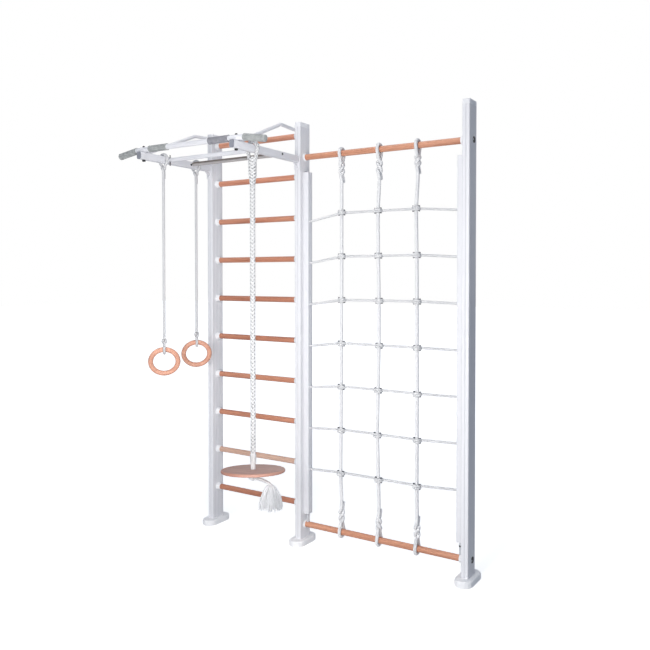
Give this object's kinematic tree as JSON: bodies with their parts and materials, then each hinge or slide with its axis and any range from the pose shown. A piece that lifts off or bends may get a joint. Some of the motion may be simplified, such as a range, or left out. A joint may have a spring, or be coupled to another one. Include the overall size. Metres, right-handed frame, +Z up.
{
  "type": "kids wall bars",
  "caption": "Wall bars for children: rung ladder beside a knotted climbing net, with an overhead pull-up frame that carries gym rings and a climbing rope with a disc seat.",
  "frame": {"origin": "centre of the middle foot's underside, on the floor", "axes": "+X along the wall from the ladder towards the net, +Y towards the wall behind the part, +Z up; the arms reach out along -Y"},
  "size_m": [1.8583, 0.7098, 2.36],
  "materials": {
    "bottom_bar_bolt": "black oxide",
    "bottom_net_bar": "satin lacquer",
    "climbing_rope": "twisted fibre",
    "climbing_rope_loop": "twisted fibre",
    "disc_seat": "satin lacquer",
    "front_cross_tube": "powder coat",
    "front_ring": "satin lacquer",
    "front_ring_rope": "twisted fibre",
    "left_arm": "powder coat",
    "left_arm_bracket": "powder coat",
    "left_arm_plug": "fine grain",
    "left_cap": "smooth",
    "left_foot": "smooth",
    "left_frame_bolt": "black oxide",
    "left_inner_grip": "matt foam",
    "left_net_rail": "powder coat",
    "left_outer_grip": "matt foam",
    "left_post": "powder coat",
    "left_stay": "powder coat",
    "middle_cap": "smooth",
    "middle_foot": "smooth",
    "middle_post": "powder coat",
    "net_cross_1": "twisted fibre",
    "net_cross_2": "twisted fibre",
    "net_cross_3": "twisted fibre",
    "net_cross_4": "twisted fibre",
    "net_cross_5": "twisted fibre",
    "net_cross_6": "twisted fibre",
    "net_cross_7": "twisted fibre",
    "net_upright_1": "twisted fibre",
    "net_upright_2": "twisted fibre",
    "net_upright_3": "twisted fibre",
    "pull_up_bar": "powder coat",
    "rear_cross_tube": "powder coat",
    "rear_ring": "satin lacquer",
    "rear_ring_rope": "twisted fibre",
    "right_arm": "powder coat",
    "right_arm_bracket": "powder coat",
    "right_arm_plug": "fine grain",
    "right_cap": "smooth",
    "right_foot": "smooth",
    "right_frame_bolt": "black oxide",
    "right_inner_grip": "matt foam",
    "right_net_rail": "powder coat",
    "right_outer_grip": "matt foam",
    "right_post": "powder coat",
    "right_stay": "powder coat",
    "rope_tail": "twisted fibre",
    "rung_01": "satin lacquer",
    "rung_02": "satin lacquer",
    "rung_03": "satin lacquer",
    "rung_04": "satin lacquer",
    "rung_05": "satin lacquer",
    "rung_06": "satin lacquer",
    "rung_07": "satin lacquer",
    "rung_08": "satin lacquer",
    "rung_09": "satin lacquer",
    "rung_10": "satin lacquer",
    "top_bar_bolt": "black oxide",
    "top_net_bar": "satin lacquer"
  },
  "bodies": {
    "frame": {"bottom_bar_bolt": "bottom_bar_bolt", "bottom_net_bar": "bottom_net_bar", "front_cross_tube": "front_cross_tube", "left_arm": "left_arm", "left_arm_bracket": "left_arm_bracket", "left_arm_plug": "left_arm_plug", "left_cap": "left_cap", "left_foot": "left_foot", "left_frame_bolt": "left_frame_bolt", "left_inner_grip": "left_inner_grip", "left_net_rail": "left_net_rail", "left_outer_grip": "left_outer_grip", "left_post": "left_post", "left_stay": "left_stay", "middle_cap": "middle_cap", "middle_foot": "middle_foot", "middle_post": "middle_post", "net_cross_1": "net_cross_1", "net_cross_2": "net_cross_2", "net_cross_3": "net_cross_3", "net_cross_4": "net_cross_4", "net_cross_5": "net_cross_5", "net_cross_6": "net_cross_6", "net_cross_7": "net_cross_7", "net_upright_1": "net_upright_1", "net_upright_2": "net_upright_2", "net_upright_3": "net_upright_3", "pull_up_bar": "pull_up_bar", "rear_cross_tube": "rear_cross_tube", "right_arm": "right_arm", "right_arm_bracket": "right_arm_bracket", "right_arm_plug": "right_arm_plug", "right_cap": "right_cap", "right_foot": "right_foot", "right_frame_bolt": "right_frame_bolt", "right_inner_grip": "right_inner_grip", "right_net_rail": "right_net_rail", "right_outer_grip": "right_outer_grip", "right_post": "right_post", "right_stay": "right_stay", "rung_01": "rung_01", "rung_02": "rung_02", "rung_03": "rung_03", "rung_04": "rung_04", "rung_05": "rung_05", "rung_06": "rung_06", "rung_07": "rung_07", "rung_08": "rung_08", "rung_09": "rung_09", "rung_10": "rung_10", "top_bar_bolt": "top_bar_bolt", "top_net_bar": "top_net_bar"},
    "front_ring_rope": {"front_ring_rope": "front_ring_rope"},
    "front_ring": {"front_ring": "front_ring"},
    "rear_ring_rope": {"rear_ring_rope": "rear_ring_rope"},
    "rear_ring": {"rear_ring": "rear_ring"},
    "rope_loop": {"climbing_rope_loop": "climbing_rope_loop"},
    "rope": {"climbing_rope": "climbing_rope", "rope_tail": "rope_tail"},
    "seat": {"disc_seat": "disc_seat"}
  },
  "joints": [
    {"name": "front_ring_rope_swing", "type": "hinge", "parent": "frame", "child": "front_ring_rope", "pos_m": [-0.643, -0.43, 2.153], "axis": [0, 1, 0], "range_deg": [-8, 40]},
    {"name": "front_ring_tilt", "type": "hinge", "parent": "front_ring_rope", "child": "front_ring", "pos_m": [-0.62313, -0.44987, 1.09654], "axis": [0.7071, 0.7071, 0], "range_deg": [-50, 35]},
    {"name": "rear_ring_rope_swing", "type": "hinge", "parent": "frame", "child": "rear_ring_rope", "pos_m": [-0.643, -0.168, 2.153], "axis": [0, 1, 0], "range_deg": [-8, 40]},
    {"name": "rear_ring_tilt", "type": "hinge", "parent": "rear_ring_rope", "child": "rear_ring", "pos_m": [-0.62313, -0.18787, 1.11704], "axis": [0.7071, 0.7071, 0], "range_deg": [-50, 25]},
    {"name": "rope_loop_swing", "type": "hinge", "parent": "frame", "child": "rope_loop", "pos_m": [0, -0.447, 2.153], "axis": [0, 1, 0], "range_deg": [-35, 12]},
    {"name": "rope_swing", "type": "hinge", "parent": "rope_loop", "child": "rope", "pos_m": [0, -0.447, 1.9508], "axis": [1, 0, 0], "range_deg": [-35, 6]},
    {"name": "seat_spin", "type": "hinge", "parent": "rope", "child": "seat", "pos_m": [0, -0.447, 0.509], "axis": [-0.0644, 0.0824, 0.9945], "continuous": true}
  ]
}
